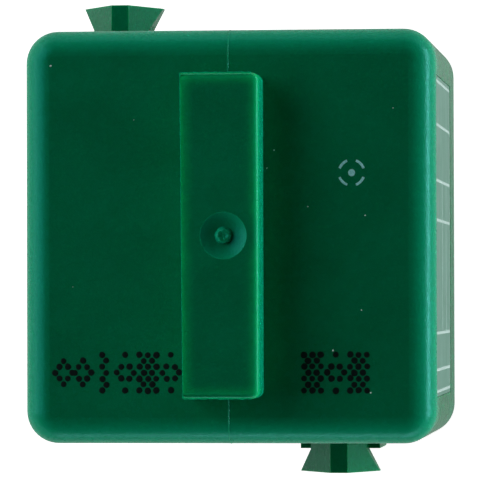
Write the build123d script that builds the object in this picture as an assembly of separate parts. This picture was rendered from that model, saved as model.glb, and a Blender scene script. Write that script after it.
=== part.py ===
from build123d import *
import os

# Plug-in cube relay with a green moulded cover.
# Millimetres. +Z is up, the blades point down and their tips are at z = 0.
# The origin is at the middle of the object's box, at the blade tips. The label is on the +X wall.
# The yoke, with the armature's hinge, is on the -Y side and the contacts are on the +Y side.

# ---- Making ----
PAST = 1.0                  # how far a cutting block runs past the faces it cuts
SINK = 0.5                  # how far one block is sunk into the next before they are fused

# ---- Cover ----
HOUSING_WIDTH = 28.0        # along X
HOUSING_LENGTH = 28.1       # along Y
HOUSING_HEIGHT = 24.0
BLADE_REACH = 11.0          # how far the blades stand out below the cover's rim
CORNER_RADIUS = 2.2         # upright corners
TOP_EDGE_RADIUS = 1.8
WALL = 1.4
ROOF = 1.6
RIM_WALL = 1.1              # thinner wall around the base plate
CAVITY_CORNER = 0.8
COVER_BOTTOM = BLADE_REACH
COVER_TOP = COVER_BOTTOM + HOUSING_HEIGHT
HALF_X = HOUSING_WIDTH / 2
HALF_Y = HOUSING_LENGTH / 2
ROOF_UNDERSIDE = COVER_TOP - ROOF

# ---- Grip bar on the cover's top, with the moulding gate in its middle ----
BAR_LEFT_BACK = -2.88       # the -X side runs slightly askew
BAR_LEFT_FRONT = -2.73
BAR_RIGHT = 2.40
BAR_LENGTH = 21.82
BAR_HEIGHT = 3.2
BAR_EDGE_RADIUS = 0.5
BAR_CORE_WALL = 1.5         # the bar is cored out from inside the cover
BAR_TOP = COVER_TOP + BAR_HEIGHT
DIMPLE_RADIUS = 1.6
DIMPLE_DEPTH = 0.45
GATE_RADIUS = 0.42
GATE_STUB = 0.32

# ---- Label ----
LABEL_HALF_WIDTH = 10.95
LABEL_TOP = COVER_TOP - 1.9
LABEL_BOTTOM = COVER_TOP - 19.0
LABEL_RECESS = 0.14
LABEL_THICKNESS = 0.10
LABEL_MARGIN = 0.03

# ---- Dovetail lugs that slide into a carrier ----
LUG_PLACES = ((-8.89, 1), (6.44, -1))       # x of the middle, and the side along Y
LUG_PAD_WIDTH = 5.62
LUG_PAD_THICKNESS = 0.76
LUG_PAD_BOTTOM = 14.5
LUG_NECK_WIDTH = 3.95
LUG_END_WIDTH = 5.6
LUG_REACH = 2.35            # from the wall to the dovetail's end
LUG_BOTTOM = 20.0
LUG_SHOULDER = 21.0
LUG_NOSE = 25.0
LUG_NOSE_WIDTH = 1.2
LUG_NOSE_SHIFT = 0.22       # both noses lean this far towards +X
LUG_ROOT = 0.3              # how deep the pad is sunk into the wall

# ---- Base plate ----
BASE_BOTTOM = COVER_BOTTOM + 0.3
DECK = 13.95                # upper face of the base plate
BASE_INSET = RIM_WALL + 0.08
BASE_CORNER = 0.8
BASE_RIM = 0.9
BASE_RECESS = 0.7
BOSS_MARGIN = 0.75          # the raised collar around each blade
RIM_STEP = 14.0             # the cover's inner step rests here, just above the deck
SLOT_GAP = 0.05
STAND_OFF_HEIGHT = 0.63
STAND_OFF_INNER = 4.0
VENT_RADIUS = 0.6
VENT_OFFSET = 9.5

# ---- Blade terminals, ISO mini-relay pattern ----
BLADE_WIDTH = 6.3
STRIP = 0.8
BLADE_TAPER = 1.0
BLADE_TIP_BEVEL = 0.28
COIL_BLADE_X = 8.4
OPEN_BLADE_Y = 8.0
COMMON_BLADE_Y = -9.0
HALF_BLADE = BLADE_WIDTH / 2
HALF_STRIP = STRIP / 2
BLADE_PLACES = ((0, COMMON_BLADE_Y, False), (0, 0, True), (0, OPEN_BLADE_Y, True),
                (-COIL_BLADE_X, 0, False), (COIL_BLADE_X, 0, False))    # x, y, width along X
NECK_EDGE = 0.35            # inner edge of the two contact strips, either side of the middle

# ---- Magnet: yoke, core, bobbin and winding ----
YOKE_THICKNESS = 1.6
YOKE_HALF_WIDTH = 5.5
YOKE_BACK = -9.6
YOKE_FOOT_BOTTOM = 14.6
YOKE_FOOT_FRONT = 4.4
YOKE_TOP = 28.2
PIVOT_RADIUS = 0.3          # the yoke's rounded top back edge, which the armature rocks on
COIL_Y = -0.6
CORE_RADIUS = 3.0
CORE_NECK_RADIUS = 2.2
POLE_RADIUS = 4.6
POLE_THICKNESS = 1.0
FLANGE_HALF = 7.0
FLANGE_THICKNESS = 1.0
FLANGE_CORNER = 1.2
TUBE_RADIUS = 3.65
TUBE_BORE = 3.1
WINDING_RADIUS = 6.2
FINE_GAP = 0.02
YOKE_FRONT = YOKE_BACK + YOKE_THICKNESS
YOKE_FOOT_TOP = YOKE_FOOT_BOTTOM + YOKE_THICKNESS
POLE_BOTTOM = YOKE_TOP - POLE_THICKNESS

# ---- Armature and contact blade, drawn pulled in and then tilted to rest ----
HINGE_Y = YOKE_BACK + PIVOT_RADIUS
HINGE_Z = YOKE_TOP - PIVOT_RADIUS
ARMATURE_BOTTOM = YOKE_TOP + 0.05
REST_TILT = 3.2             # degrees
ARMATURE_THICKNESS = 1.4
ARMATURE_HALF_WIDTH = 4.8
ARMATURE_SHOULDER = -7.2
ARMATURE_FRONT = 6.2
ARMATURE_CORNER = 1.5
TAIL_LEFT = 2.4
TAIL_RIGHT = 4.4
TAIL_END = -11.7
LEAF_THICKNESS = 0.35
LEAF_HALF_WIDTH = 1.8
LEAF_TIP_RADIUS = 1.5
BRAID_TAB_MARGIN = 0.2
LEAF_REAR = -7.5
CONTACT_Y = 9.6
RIVET_RADIUS = 0.6
RIVET_HEAD_RADIUS = 1.0
RIVET_HEAD = 0.45
ARMATURE_RIVET_YS = (-3.4, 2.6)
ARMATURE_TOP = ARMATURE_BOTTOM + ARMATURE_THICKNESS
LEAF_TOP = ARMATURE_TOP + LEAF_THICKNESS

# ---- Contacts ----
CONTACT_RADIUS = 1.4
CONTACT_SHANK = 0.7
CONTACT_EDGE = 0.25
LOWER_HEAD = 0.8
UPPER_HEAD = 0.6
CONTACT_GAP = 0.03          # what is left between closed contacts
OPEN_SHOULDER = 12.6        # where the blade narrows into the riser
OPEN_SHELF_TOP = 28.1
CLOSED_ARM_BOTTOM = 32.3
CLOSED_CONTACT_FACE = 31.76
CLOSED_RISER_Y = 11.4
SHELF_END = 11.1

# ---- Return spring, behind the yoke ----
SPRING_X = 3.4
SPRING_Y = -11.1
SPRING_RADIUS = 1.0
SPRING_WIRE = 0.35
SPRING_BOTTOM = 19.6
SPRING_TOP = 27.0
HOOK_Y = -11.3
HOOK_TIP_Y = -10.4
UPPER_HOOK_Z = 29.95
LOWER_HOOK_Z = 17.7
NOTCH_HALF = 0.4
NOTCH_DEPTH = 0.7
SPRING_LUG_BOTTOM = 18.0
SPRING_LUG_TOP = 18.9

# ---- Shunt braid from the common terminal to the contact blade ----
BRAID_X = -3.4
BRAID_WIDTH = 2.8
BRAID_THICKNESS = 0.8
BRAID_BACK_Y = -10.9
BRAID_BOTTOM = 18.75
BRAID_TOP = 30.7
BRAID_END_Y = -4.9
BRAID_BEND = 1.8
COMMON_PLATE_LEFT = -5.4
COMMON_PLATE_TOP = 21.4
COMMON_FIN_TOP = 17.0
TERMINAL_RIVET_XS = (-1.3, -4.3)
TERMINAL_RIVET_Z = 17.6

# ---- Coil connections and suppression resistor ----
PRONG_TOP = 18.6
PRONG_WIDTH = 1.25
PRONG_ROOT = 15.0
WRAP_BOTTOM = 17.1
WRAP_TOP = 18.1
WRAP_THICKNESS = 0.3
WIRE = 0.3
RESISTOR_Y = 10.0
RESISTOR_Z = 17.6
RESISTOR_RADIUS = 1.2
RESISTOR_CAP_RADIUS = 1.35
RESISTOR_HALF_LENGTH = 3.3
RESISTOR_CAP = 1.3
LEAD = 0.6
LEAD_BEND = 0.9
LEAD_END_Y = 2.2


def block(x0, x1, y0, y1, z0, z1):
    """A box between two opposite corners."""
    middle = Pos((x0 + x1) / 2, (y0 + y1) / 2, (z0 + z1) / 2)
    return middle * Box(x1 - x0, y1 - y0, z1 - z0)


def upright_rod(radius, x, y, z0, z1):
    """A cylinder along Z."""
    return Pos(x, y, (z0 + z1) / 2) * Cylinder(radius, z1 - z0)


def rod_along_y(radius, x, z, y0, y1):
    """A cylinder along Y."""
    return Pos(x, (y0 + y1) / 2, z) * Rot(90, 0, 0) * Cylinder(radius, y1 - y0)


def rod_along_x(radius, y, z, x0, x1):
    """A cylinder along X."""
    return Pos((x0 + x1) / 2, y, z) * Rot(0, 90, 0) * Cylinder(radius, x1 - x0)


def rounded_block(half_x, half_y, z0, z1, radius):
    """A block on the Z axis with rounded upright corners."""
    solid = block(-half_x, half_x, -half_y, half_y, z0, z1)
    return fillet(solid.edges().filter_by(Axis.Z), radius)


def housing_block(inset, z0, z1, radius):
    """A rounded block set in by the same amount from all four of the cover's walls."""
    return rounded_block(HALF_X - inset, HALF_Y - inset, z0, z1, radius)


def swept_tube(points, bend, diameter):
    """A round wire along straight runs joined by arcs."""
    path = FilletPolyline(*points, radius=bend)
    start = Plane(origin=path @ 0, z_dir=path % 0)
    return sweep(start * Circle(diameter / 2), path=path)


def domed_head(radius, x, y, z0, z1, face_up):
    """A contact button with its outer edge rounded."""
    button = upright_rod(radius, x, y, z0, z1)
    rim = button.edges().sort_by(Axis.Z)[-1 if face_up else 0]
    return fillet(rim, CONTACT_EDGE)


# ---- Cover and label ----

def grip_bar():
    """The bar across the top: sharp on its -X side and rounded on its +X side."""
    half = BAR_LENGTH / 2
    root = COVER_TOP - ROOF / 2
    plan = Polygon((BAR_LEFT_FRONT, -half), (BAR_RIGHT, -half), (BAR_RIGHT, half),
                   (BAR_LEFT_BACK, half), align=None)
    bar = Pos(0, 0, root) * extrude(plan, amount=BAR_TOP - root)
    right_corners = bar.edges().filter_by(Axis.Z).group_by(Axis.X)[-1]
    bar = fillet(right_corners, BAR_EDGE_RADIUS)
    right_top = bar.edges().filter_by(Axis.Y).group_by(Axis.X)[-1].sort_by(Axis.Z)[-1]
    return fillet(right_top, BAR_EDGE_RADIUS * 0.9)


def gate_dimple():
    """The ball that the dimple is cut with."""
    ball_radius = (DIMPLE_RADIUS ** 2 + DIMPLE_DEPTH ** 2) / (2 * DIMPLE_DEPTH)
    return Pos(0, 0, BAR_TOP - DIMPLE_DEPTH + ball_radius) * Sphere(ball_radius)


def carrier_lug(x, side):
    """A pad on the wall and a dovetail on the pad, with a roof-shaped nose pointing up."""
    half_pad = LUG_PAD_WIDTH / 2
    half_neck = LUG_NECK_WIDTH / 2
    half_end = LUG_END_WIDTH / 2
    nose_left = side * LUG_NOSE_SHIFT - LUG_NOSE_WIDTH / 2
    nose_right = nose_left + LUG_NOSE_WIDTH
    root = HALF_Y - LUG_ROOT
    pad_face = HALF_Y + LUG_PAD_THICKNESS
    end_face = HALF_Y + LUG_REACH
    pad = block(-half_pad, half_pad, root, pad_face, LUG_PAD_BOTTOM, LUG_SHOULDER)
    plan = Polygon((-half_neck, root), (half_neck, root),
                   (half_neck, pad_face), (half_end, end_face),
                   (-half_end, end_face), (-half_neck, pad_face), align=None)
    dovetail = Pos(0, 0, LUG_BOTTOM) * extrude(plan, amount=LUG_NOSE - LUG_BOTTOM)
    front = Polygon((-half_end, LUG_BOTTOM), (half_end, LUG_BOTTOM), (half_end, LUG_SHOULDER),
                    (nose_right, LUG_NOSE), (nose_left, LUG_NOSE), (-half_end, LUG_SHOULDER),
                    align=None)
    roof = extrude(Plane.XZ.offset(-end_face) * front, amount=LUG_REACH + LUG_ROOT)
    lug = pad + (dovetail & roof)
    turn = 0 if side > 0 else 180
    return Pos(x, 0, 0) * Rot(0, 0, turn) * lug


def make_cover():
    """The green cover: five walls, grip bar, label recess and two lugs."""
    cover = housing_block(0, COVER_BOTTOM, COVER_TOP, CORNER_RADIUS)
    cover = fillet(cover.edges().group_by(Axis.Z)[-1], TOP_EDGE_RADIUS)
    cover += grip_bar()
    for x, side in LUG_PLACES:
        cover += carrier_lug(x, side)
    cover -= housing_block(RIM_WALL, COVER_BOTTOM - PAST, RIM_STEP, CAVITY_CORNER)
    cover -= housing_block(WALL, COVER_BOTTOM, ROOF_UNDERSIDE, CAVITY_CORNER)
    half_core = BAR_LENGTH / 2 - BAR_CORE_WALL
    cover -= block(BAR_LEFT_FRONT + BAR_CORE_WALL, BAR_RIGHT - BAR_CORE_WALL, -half_core, half_core,
                   ROOF_UNDERSIDE - SINK, BAR_TOP - ROOF - DIMPLE_DEPTH)
    cover -= gate_dimple()
    floor = BAR_TOP - DIMPLE_DEPTH
    cover += upright_rod(GATE_RADIUS, 0, 0, floor - SINK, floor + GATE_STUB)
    cover -= block(HALF_X - LABEL_RECESS, HALF_X + PAST, -LABEL_HALF_WIDTH, LABEL_HALF_WIDTH,
                   LABEL_BOTTOM, LABEL_TOP)
    return cover


def make_side_label():
    """The printed film in the cover's shallow recess."""
    bed = HALF_X - LABEL_RECESS
    half = LABEL_HALF_WIDTH - LABEL_MARGIN
    return block(bed, bed + LABEL_THICKNESS, -half, half,
                 LABEL_BOTTOM + LABEL_MARGIN, LABEL_TOP - LABEL_MARGIN)


# ---- Base plate ----

def around_blade(x, y, wide_along_x, margin, z0, z1):
    """A block that stands out by the margin all round a blade."""
    half_x, half_y = (HALF_BLADE, HALF_STRIP) if wide_along_x else (HALF_STRIP, HALF_BLADE)
    half_x += margin
    half_y += margin
    return block(x - half_x, x + half_x, y - half_y, y + half_y, z0, z1)


def make_base_plate():
    """The moulded base with five blade slots, a channel and two stand-offs for the yoke."""
    base = housing_block(BASE_INSET, BASE_BOTTOM, DECK, BASE_CORNER)
    recess_top = BASE_BOTTOM + BASE_RECESS
    base -= housing_block(BASE_INSET + BASE_RIM, BASE_BOTTOM - PAST, recess_top, BASE_CORNER)
    for side in (-1, 1):
        inner, outer = sorted((side * STAND_OFF_INNER, side * YOKE_HALF_WIDTH))
        base += block(inner, outer, YOKE_FRONT, YOKE_FOOT_FRONT, DECK - SINK, DECK + STAND_OFF_HEIGHT)
    for x, y, wide_along_x in BLADE_PLACES:
        base += around_blade(x, y, wide_along_x, BOSS_MARGIN, BASE_BOTTOM, recess_top + SINK)
    for x, y, wide_along_x in BLADE_PLACES:
        base -= around_blade(x, y, wide_along_x, SLOT_GAP, BASE_BOTTOM - PAST, DECK + PAST)
    base -= block(-HALF_BLADE - SLOT_GAP, -NECK_EDGE + SLOT_GAP, -HALF_STRIP,
                  CLOSED_RISER_Y + STRIP + SLOT_GAP, DECK - STRIP - SLOT_GAP, DECK + PAST)
    base -= upright_rod(VENT_RADIUS, -VENT_OFFSET, VENT_OFFSET, BASE_BOTTOM - PAST, DECK + PAST)
    return base


# ---- Terminals ----

def blade(x, y, wide_along_x, top):
    """A flat tab with a tapered tip, standing on z = 0."""
    wide = Polygon((-HALF_BLADE, BLADE_TAPER), (-HALF_BLADE + BLADE_TAPER * 0.6, 0),
                   (HALF_BLADE - BLADE_TAPER * 0.6, 0), (HALF_BLADE, BLADE_TAPER),
                   (HALF_BLADE, top), (-HALF_BLADE, top), align=None)
    thin = Polygon((-HALF_STRIP, BLADE_TAPER), (-HALF_STRIP + BLADE_TIP_BEVEL, 0),
                   (HALF_STRIP - BLADE_TIP_BEVEL, 0), (HALF_STRIP, BLADE_TAPER),
                   (HALF_STRIP, top), (-HALF_STRIP, top), align=None)
    flat = extrude(Plane.XZ * wide, amount=HALF_BLADE, both=True)
    edge = extrude(Plane.YZ * thin, amount=HALF_BLADE, both=True)
    turn = 0 if wide_along_x else 90
    return Pos(x, y, 0) * Rot(0, 0, turn) * (flat & edge)


def make_common_terminal():
    """Blade, and a plate folded against the yoke's back."""
    terminal = blade(0, COMMON_BLADE_Y, False, RIM_STEP)
    plate_front = YOKE_BACK - SLOT_GAP
    fin_end = COMMON_BLADE_Y - HALF_BLADE
    terminal += block(-HALF_STRIP, HALF_STRIP, fin_end, plate_front, DECK, COMMON_FIN_TOP)
    terminal += block(COMMON_PLATE_LEFT, HALF_STRIP, plate_front - STRIP, plate_front,
                      RIM_STEP, COMMON_PLATE_TOP)
    for x in TERMINAL_RIVET_XS:
        terminal -= rod_along_y(RIVET_RADIUS + FINE_GAP, x, TERMINAL_RIVET_Z,
                                plate_front - STRIP - PAST, plate_front + PAST)
    return terminal


def make_normally_open_terminal():
    """Blade, narrow riser and the shelf that carries the lower fixed contact."""
    terminal = blade(0, OPEN_BLADE_Y, True, OPEN_SHOULDER)
    back = OPEN_BLADE_Y - HALF_STRIP
    terminal += block(NECK_EDGE, HALF_BLADE, back, back + STRIP, OPEN_SHOULDER - SINK, OPEN_SHELF_TOP)
    terminal += block(-LEAF_HALF_WIDTH, HALF_BLADE, back, SHELF_END,
                      OPEN_SHELF_TOP - STRIP, OPEN_SHELF_TOP)
    return terminal


def make_normally_closed_terminal():
    """Blade, a run sunk in the deck, a riser and the arm that carries the upper contact."""
    run_bottom = DECK - STRIP
    arm_top = CLOSED_ARM_BOTTOM + STRIP
    riser_end = CLOSED_RISER_Y + STRIP
    terminal = blade(0, 0, True, run_bottom + STRIP)
    terminal += block(-HALF_BLADE, -NECK_EDGE, -HALF_STRIP, riser_end, run_bottom, DECK)
    terminal += block(-HALF_BLADE, -NECK_EDGE, CLOSED_RISER_Y, riser_end, run_bottom, arm_top)
    terminal += block(-HALF_BLADE, LEAF_HALF_WIDTH, CONTACT_Y - CONTACT_RADIUS, riser_end,
                      CLOSED_ARM_BOTTOM, arm_top)
    return terminal


def make_coil_terminal(side):
    """Blade with two prongs: one for the coil wire and one for the resistor's lead."""
    terminal = blade(side * COIL_BLADE_X, 0, False, PRONG_ROOT)
    x0 = side * COIL_BLADE_X - HALF_STRIP
    for end in (-1, 1):
        inner, outer = sorted((end * (HALF_BLADE - PRONG_WIDTH), end * HALF_BLADE))
        terminal += block(x0, x0 + STRIP, inner, outer, DECK, PRONG_TOP)
    return terminal


def make_terminal_rivets():
    """Two rivets that hold the common terminal against the yoke."""
    plate_back = YOKE_BACK - SLOT_GAP - STRIP
    rivets = []
    for x in TERMINAL_RIVET_XS:
        shank = rod_along_y(RIVET_RADIUS, x, TERMINAL_RIVET_Z, plate_back, YOKE_FRONT)
        head = rod_along_y(RIVET_HEAD_RADIUS, x, TERMINAL_RIVET_Z, plate_back - RIVET_HEAD, plate_back)
        rivets.append(fillet((shank + head).edges().sort_by(Axis.Y)[0], RIVET_HEAD * 0.6))
    return Compound(children=rivets)


# ---- Magnet ----

def make_yoke():
    """The L-shaped steel yoke, with a notched lug for the return spring."""
    yoke = block(-YOKE_HALF_WIDTH, YOKE_HALF_WIDTH, YOKE_BACK, YOKE_FOOT_FRONT,
                 YOKE_FOOT_BOTTOM, YOKE_FOOT_TOP)
    yoke += block(-YOKE_HALF_WIDTH, YOKE_HALF_WIDTH, YOKE_BACK, YOKE_FRONT,
                  YOKE_FOOT_BOTTOM, YOKE_TOP)
    outer_bend = yoke.edges().filter_by(Axis.X).group_by(Axis.Z)[0].sort_by(Axis.Y)[0]
    yoke = fillet(outer_bend, YOKE_THICKNESS * 0.75)
    pivot_edge = yoke.edges().filter_by(Axis.X).group_by(Axis.Z)[-1].sort_by(Axis.Y)[0]
    yoke = fillet(pivot_edge, PIVOT_RADIUS)
    yoke += block(TAIL_LEFT, TAIL_RIGHT, TAIL_END, YOKE_BACK + SINK, SPRING_LUG_BOTTOM, SPRING_LUG_TOP)
    yoke -= spring_notch(SPRING_LUG_BOTTOM - PAST, SPRING_LUG_TOP + PAST)
    yoke -= upright_rod(CORE_NECK_RADIUS + FINE_GAP, 0, COIL_Y,
                        YOKE_FOOT_BOTTOM - PAST, YOKE_FOOT_TOP + PAST)
    for x in TERMINAL_RIVET_XS:
        yoke -= rod_along_y(RIVET_RADIUS + FINE_GAP, x, TERMINAL_RIVET_Z,
                            YOKE_BACK - PAST, YOKE_FRONT + PAST)
    return yoke


def spring_notch(z0, z1):
    """The notch that one hook of the return spring drops into."""
    return block(SPRING_X - NOTCH_HALF, SPRING_X + NOTCH_HALF,
                 TAIL_END - PAST, TAIL_END + NOTCH_DEPTH, z0, z1)


def make_coil_core():
    """Steel core: pole face on top and a neck pressed into the yoke's foot."""
    core = upright_rod(CORE_RADIUS, 0, COIL_Y, YOKE_FOOT_TOP, YOKE_TOP)
    core += upright_rod(CORE_NECK_RADIUS, 0, COIL_Y, YOKE_FOOT_BOTTOM, YOKE_FOOT_TOP)
    core += upright_rod(POLE_RADIUS, 0, COIL_Y, POLE_BOTTOM, YOKE_TOP)
    return core


def make_coil_bobbin():
    """Moulded spool with two square flanges."""
    bobbin = upright_rod(TUBE_RADIUS, 0, COIL_Y, YOKE_FOOT_TOP, POLE_BOTTOM)
    for z in (YOKE_FOOT_TOP, POLE_BOTTOM - FLANGE_THICKNESS):
        flange = rounded_block(FLANGE_HALF, FLANGE_HALF, z, z + FLANGE_THICKNESS, FLANGE_CORNER)
        bobbin += Pos(0, COIL_Y, 0) * flange
    bobbin -= upright_rod(TUBE_BORE, 0, COIL_Y, YOKE_FOOT_TOP - PAST, POLE_BOTTOM + PAST)
    return bobbin


def make_coil_winding():
    """The copper winding as one ring between the flanges."""
    z0 = YOKE_FOOT_TOP + FLANGE_THICKNESS
    z1 = POLE_BOTTOM - FLANGE_THICKNESS
    winding = upright_rod(WINDING_RADIUS, 0, COIL_Y, z0, z1)
    return winding - upright_rod(TUBE_RADIUS + FINE_GAP, 0, COIL_Y, z0 - PAST, z1 + PAST)


def make_coil_lead_wires():
    """The winding's two ends, each wrapped around a prong of its coil terminal."""
    wires = []
    prong_y = -HALF_BLADE + PRONG_WIDTH / 2
    half_x = HALF_STRIP + FINE_GAP
    half_y = PRONG_WIDTH / 2 + FINE_GAP
    for side in (-1, 1):
        x = side * COIL_BLADE_X
        wrap = block(x - half_x - WRAP_THICKNESS, x + half_x + WRAP_THICKNESS,
                     prong_y - half_y - WRAP_THICKNESS, prong_y + half_y + WRAP_THICKNESS,
                     WRAP_BOTTOM, WRAP_TOP)
        wrap = fillet(wrap.edges().filter_by(Axis.Z), WRAP_THICKNESS)
        wrap -= block(x - half_x, x + half_x, prong_y - half_y, prong_y + half_y,
                      WRAP_BOTTOM - PAST, WRAP_TOP + PAST)
        inner_end = side * (WINDING_RADIUS - WIRE / 2)
        outer_end = x - side * (half_x + WRAP_THICKNESS / 2)
        ends = sorted((inner_end, outer_end))
        wires.append(wrap + rod_along_x(WIRE / 2, prong_y, (WRAP_BOTTOM + WRAP_TOP) / 2, *ends))
    return Compound(children=wires)


# ---- Armature group ----

def at_rest(shape):
    """Tilt a piece drawn pulled in up to its rest position about the hinge."""
    return Pos(0, HINGE_Y, HINGE_Z) * Rot(REST_TILT, 0, 0) * Pos(0, -HINGE_Y, -HINGE_Z) * shape


def make_armature():
    """The steel armature that rocks on the yoke's top edge, with a tail for the spring."""
    plate = block(-ARMATURE_HALF_WIDTH, ARMATURE_HALF_WIDTH, YOKE_BACK, ARMATURE_FRONT,
                  ARMATURE_BOTTOM, ARMATURE_TOP)
    front_corners = plate.edges().filter_by(Axis.Z).group_by(Axis.Y)[-1]
    plate = fillet(front_corners, ARMATURE_CORNER)
    plate += block(-YOKE_HALF_WIDTH, YOKE_HALF_WIDTH, YOKE_BACK, ARMATURE_SHOULDER,
                   ARMATURE_BOTTOM, ARMATURE_TOP)
    plate += block(TAIL_LEFT, TAIL_RIGHT, TAIL_END, YOKE_BACK + SINK, ARMATURE_BOTTOM, ARMATURE_TOP)
    plate -= spring_notch(ARMATURE_BOTTOM - PAST, ARMATURE_TOP + PAST)
    for y in ARMATURE_RIVET_YS:
        plate -= upright_rod(RIVET_RADIUS + FINE_GAP, 0, y, ARMATURE_BOTTOM - PAST, ARMATURE_TOP + PAST)
    return at_rest(plate)


def make_contact_blade():
    """The copper-alloy leaf on the armature, with a side tab for the braid."""
    leaf = block(-LEAF_HALF_WIDTH, LEAF_HALF_WIDTH, LEAF_REAR, CONTACT_Y, ARMATURE_TOP, LEAF_TOP)
    leaf += upright_rod(LEAF_TIP_RADIUS, 0, CONTACT_Y, ARMATURE_TOP, LEAF_TOP)
    tab_left = BRAID_X - BRAID_WIDTH / 2 - BRAID_TAB_MARGIN
    leaf += block(tab_left, 0, LEAF_REAR, BRAID_END_Y + BRAID_TAB_MARGIN, ARMATURE_TOP, LEAF_TOP)
    for y in ARMATURE_RIVET_YS:
        leaf -= upright_rod(RIVET_RADIUS + FINE_GAP, 0, y, ARMATURE_TOP - PAST, LEAF_TOP + PAST)
    leaf -= upright_rod(CONTACT_SHANK + FINE_GAP, 0, CONTACT_Y, ARMATURE_TOP - PAST, LEAF_TOP + PAST)
    return at_rest(leaf)


def make_armature_rivets():
    """Two rivets that hold the contact blade on the armature."""
    rivets = []
    for y in ARMATURE_RIVET_YS:
        shank = upright_rod(RIVET_RADIUS, 0, y, ARMATURE_BOTTOM, LEAF_TOP)
        head = upright_rod(RIVET_HEAD_RADIUS, 0, y, LEAF_TOP, LEAF_TOP + RIVET_HEAD)
        rivets.append(at_rest(fillet((shank + head).edges().sort_by(Axis.Z)[-1], RIVET_HEAD * 0.6)))
    return Compound(children=rivets)


def make_moving_contact():
    """The double contact button through the blade's tip."""
    lower = domed_head(CONTACT_RADIUS, 0, CONTACT_Y, ARMATURE_TOP - LOWER_HEAD, ARMATURE_TOP, False)
    upper = domed_head(CONTACT_RADIUS, 0, CONTACT_Y, LEAF_TOP, LEAF_TOP + UPPER_HEAD, True)
    shank = upright_rod(CONTACT_SHANK, 0, CONTACT_Y, ARMATURE_TOP - LOWER_HEAD / 2,
                        LEAF_TOP + UPPER_HEAD / 2)
    return at_rest(lower + upper + shank)


# ---- Fixed contacts, spring, braid and resistor ----

def make_normally_open_contact():
    """Fixed contact on the shelf, which the moving contact meets when it is pulled in."""
    face = ARMATURE_TOP - LOWER_HEAD - CONTACT_GAP
    return domed_head(CONTACT_RADIUS, 0, CONTACT_Y, OPEN_SHELF_TOP, face, True)


def make_normally_closed_contact():
    """Fixed contact under the arm, which the moving contact rests against."""
    return domed_head(CONTACT_RADIUS, 0, CONTACT_Y, CLOSED_CONTACT_FACE, CLOSED_ARM_BOTTOM, False)


def make_return_spring():
    """Tension spring as a plain sleeve with a hook at each end."""
    spring = upright_rod(SPRING_RADIUS, SPRING_X, SPRING_Y, SPRING_BOTTOM, SPRING_TOP)
    spring -= upright_rod(SPRING_RADIUS - SPRING_WIRE, SPRING_X, SPRING_Y,
                          SPRING_BOTTOM + SPRING_WIRE, SPRING_TOP - SPRING_WIRE)
    bend = SPRING_WIRE * 1.2
    upper = [(SPRING_X, HOOK_Y, SPRING_TOP - SPRING_WIRE / 2), (SPRING_X, HOOK_Y, UPPER_HOOK_Z),
             (SPRING_X, HOOK_TIP_Y, UPPER_HOOK_Z)]
    lower = [(SPRING_X, HOOK_Y, SPRING_BOTTOM + SPRING_WIRE / 2), (SPRING_X, HOOK_Y, LOWER_HOOK_Z),
             (SPRING_X, HOOK_TIP_Y, LOWER_HOOK_Z)]
    return spring + swept_tube(upper, bend, SPRING_WIRE) + swept_tube(lower, bend, SPRING_WIRE)


def make_shunt_braid():
    """Flat copper braid, up the yoke's back and over onto the contact blade."""
    path = FilletPolyline((BRAID_X, BRAID_BACK_Y, BRAID_BOTTOM), (BRAID_X, BRAID_BACK_Y, BRAID_TOP),
                          (BRAID_X, BRAID_END_Y, BRAID_TOP), radius=BRAID_BEND)
    start = Plane(origin=path @ 0, x_dir=(1, 0, 0), z_dir=path % 0)
    return sweep(start * Rectangle(BRAID_WIDTH, BRAID_THICKNESS), path=path)


def make_suppression_resistor():
    """Resistor body with a wider cap at each end."""
    body = rod_along_x(RESISTOR_RADIUS, RESISTOR_Y, RESISTOR_Z, -RESISTOR_HALF_LENGTH, RESISTOR_HALF_LENGTH)
    for side in (-1, 1):
        ends = sorted((side * (RESISTOR_HALF_LENGTH - RESISTOR_CAP), side * RESISTOR_HALF_LENGTH))
        cap = rod_along_x(RESISTOR_CAP_RADIUS, RESISTOR_Y, RESISTOR_Z, *ends)
        body += fillet(cap.edges().filter_by(GeomType.CIRCLE), RESISTOR_CAP * 0.25)
    return body


def make_resistor_leads():
    """Two bent leads, each lying against a prong of a coil terminal."""
    lead_x = COIL_BLADE_X - HALF_STRIP - LEAD / 2 - FINE_GAP
    leads = []
    for side in (-1, 1):
        points = [(side * RESISTOR_HALF_LENGTH, RESISTOR_Y, RESISTOR_Z),
                  (side * lead_x, RESISTOR_Y, RESISTOR_Z), (side * lead_x, LEAD_END_Y, RESISTOR_Z)]
        leads.append(swept_tube(points, LEAD_BEND, LEAD))
    return Compound(children=leads)


PIECES = {
    "cover": make_cover,
    "side_label": make_side_label,
    "base_plate": make_base_plate,
    "common_terminal": make_common_terminal,
    "normally_open_terminal": make_normally_open_terminal,
    "normally_closed_terminal": make_normally_closed_terminal,
    "terminal_rivets": make_terminal_rivets,
    "yoke": make_yoke,
    "coil_core": make_coil_core,
    "coil_bobbin": make_coil_bobbin,
    "coil_winding": make_coil_winding,
    "coil_lead_wires": make_coil_lead_wires,
    "armature": make_armature,
    "contact_blade": make_contact_blade,
    "armature_rivets": make_armature_rivets,
    "moving_contact": make_moving_contact,
    "normally_open_contact": make_normally_open_contact,
    "normally_closed_contact": make_normally_closed_contact,
    "return_spring": make_return_spring,
    "shunt_braid": make_shunt_braid,
    "suppression_resistor": make_suppression_resistor,
    "resistor_leads": make_resistor_leads,
}

os.makedirs("parts", exist_ok=True)
for name, make in PIECES.items():
    export_step(make(), f"parts/{name}.step")
for name, side in (("coil_terminal_left", -1), ("coil_terminal_right", 1)):
    export_step(make_coil_terminal(side), f"parts/{name}.step")
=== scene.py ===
import bpy
import bmesh
import math
import random
from mathutils import Matrix, Vector, noise


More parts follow.
